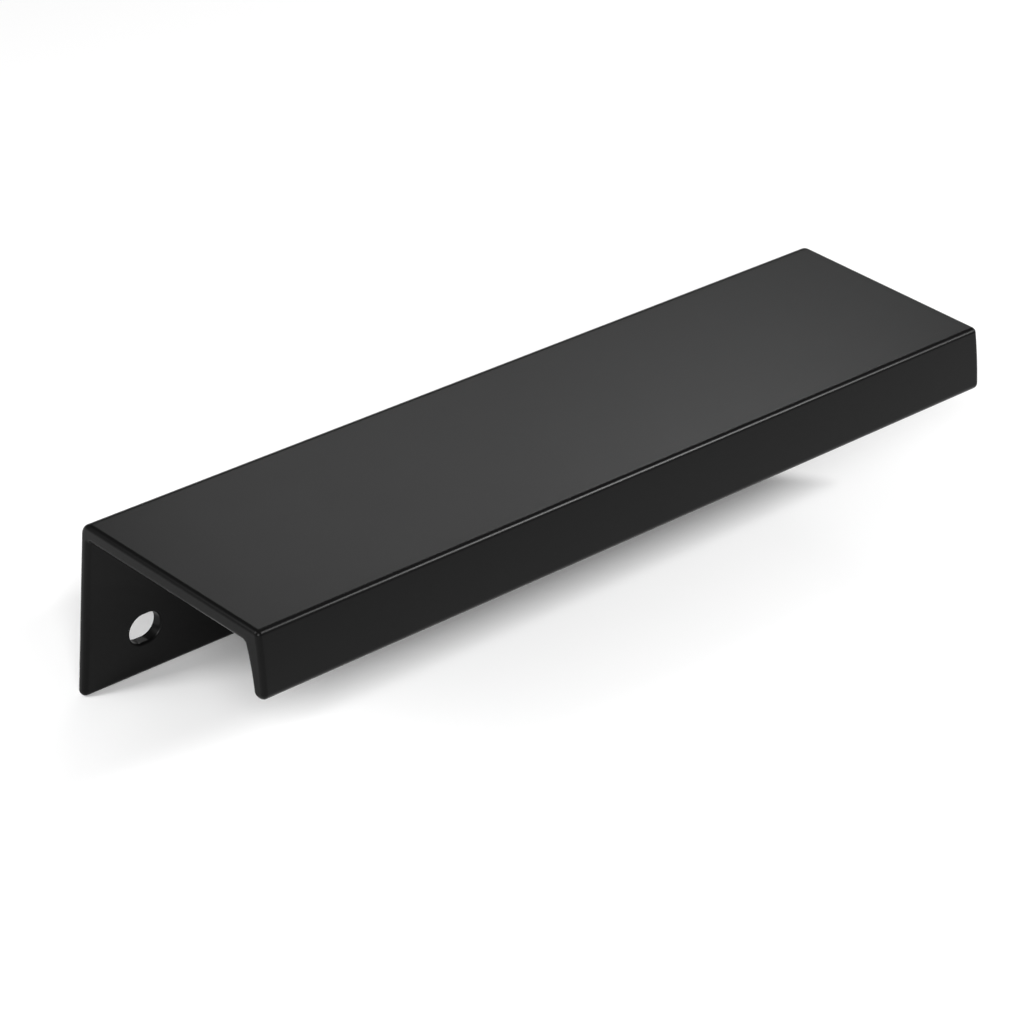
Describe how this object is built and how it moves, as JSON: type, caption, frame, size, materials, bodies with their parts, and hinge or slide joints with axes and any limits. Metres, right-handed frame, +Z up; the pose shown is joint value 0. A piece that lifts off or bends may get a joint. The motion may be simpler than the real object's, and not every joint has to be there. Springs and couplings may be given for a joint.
{
  "type": "concealed pull",
  "caption": "Edge pull for a cabinet door: a screw flange behind the door, a flat plate over its top edge and a lip that leans outwards in front as a finger grip.",
  "frame": {"origin": "midway between the two screw holes, on the flange face that meets the back of the door", "axes": "+X along the pull, -Y from the flange towards the lip in front of the door, +Z up towards the plate"},
  "size_m": [0.15, 0.0392, 0.0282],
  "materials": {
    "black_coat": "satin"
  },
  "bodies": {
    "root": {"pull": "black_coat"}
  },
  "joints": []
}
